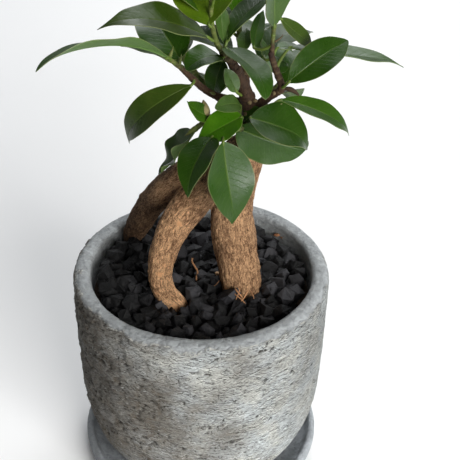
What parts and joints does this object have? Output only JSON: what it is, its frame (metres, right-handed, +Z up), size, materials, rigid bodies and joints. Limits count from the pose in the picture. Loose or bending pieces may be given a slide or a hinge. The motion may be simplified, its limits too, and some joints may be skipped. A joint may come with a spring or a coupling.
{
  "type": "potted ginseng ficus",
  "caption": "Ginseng ficus with thick exposed roots and leafy shoots, in a round cast-stone pot with charcoal chips on a matching saucer.",
  "frame": {"origin": "centre of the saucer's flat underside, on the surface it stands on", "axes": "+Z up along the pot's axis, -Y towards the viewer's side of the plant, +X to the viewer's right"},
  "size_m": [0.1636, 0.13, 0.2914],
  "materials": {
    "saucer_stone": "smooth grey cast stone",
    "pot_stone": "rough pitted grey cast stone",
    "soil": "dark potting soil",
    "charcoal": "broken charcoal chips",
    "bark": "wrinkled tan-brown bark",
    "leaf": "glossy leathery leaf"
  },
  "bodies": {
    "root": {"saucer": "saucer_stone", "pot": "pot_stone", "soil": "soil", "charcoal_chips": "charcoal", "roots_and_trunk": "bark", "main_shoot": "leaf", "left_shoot": "leaf", "right_shoot": "leaf", "lower_right_shoot": "leaf", "front_shoot": "leaf", "low_left_shoot": "leaf", "back_shoot": "leaf", "back_right_shoot": "leaf", "back_left_shoot": "leaf"}
  },
  "joints": []
}
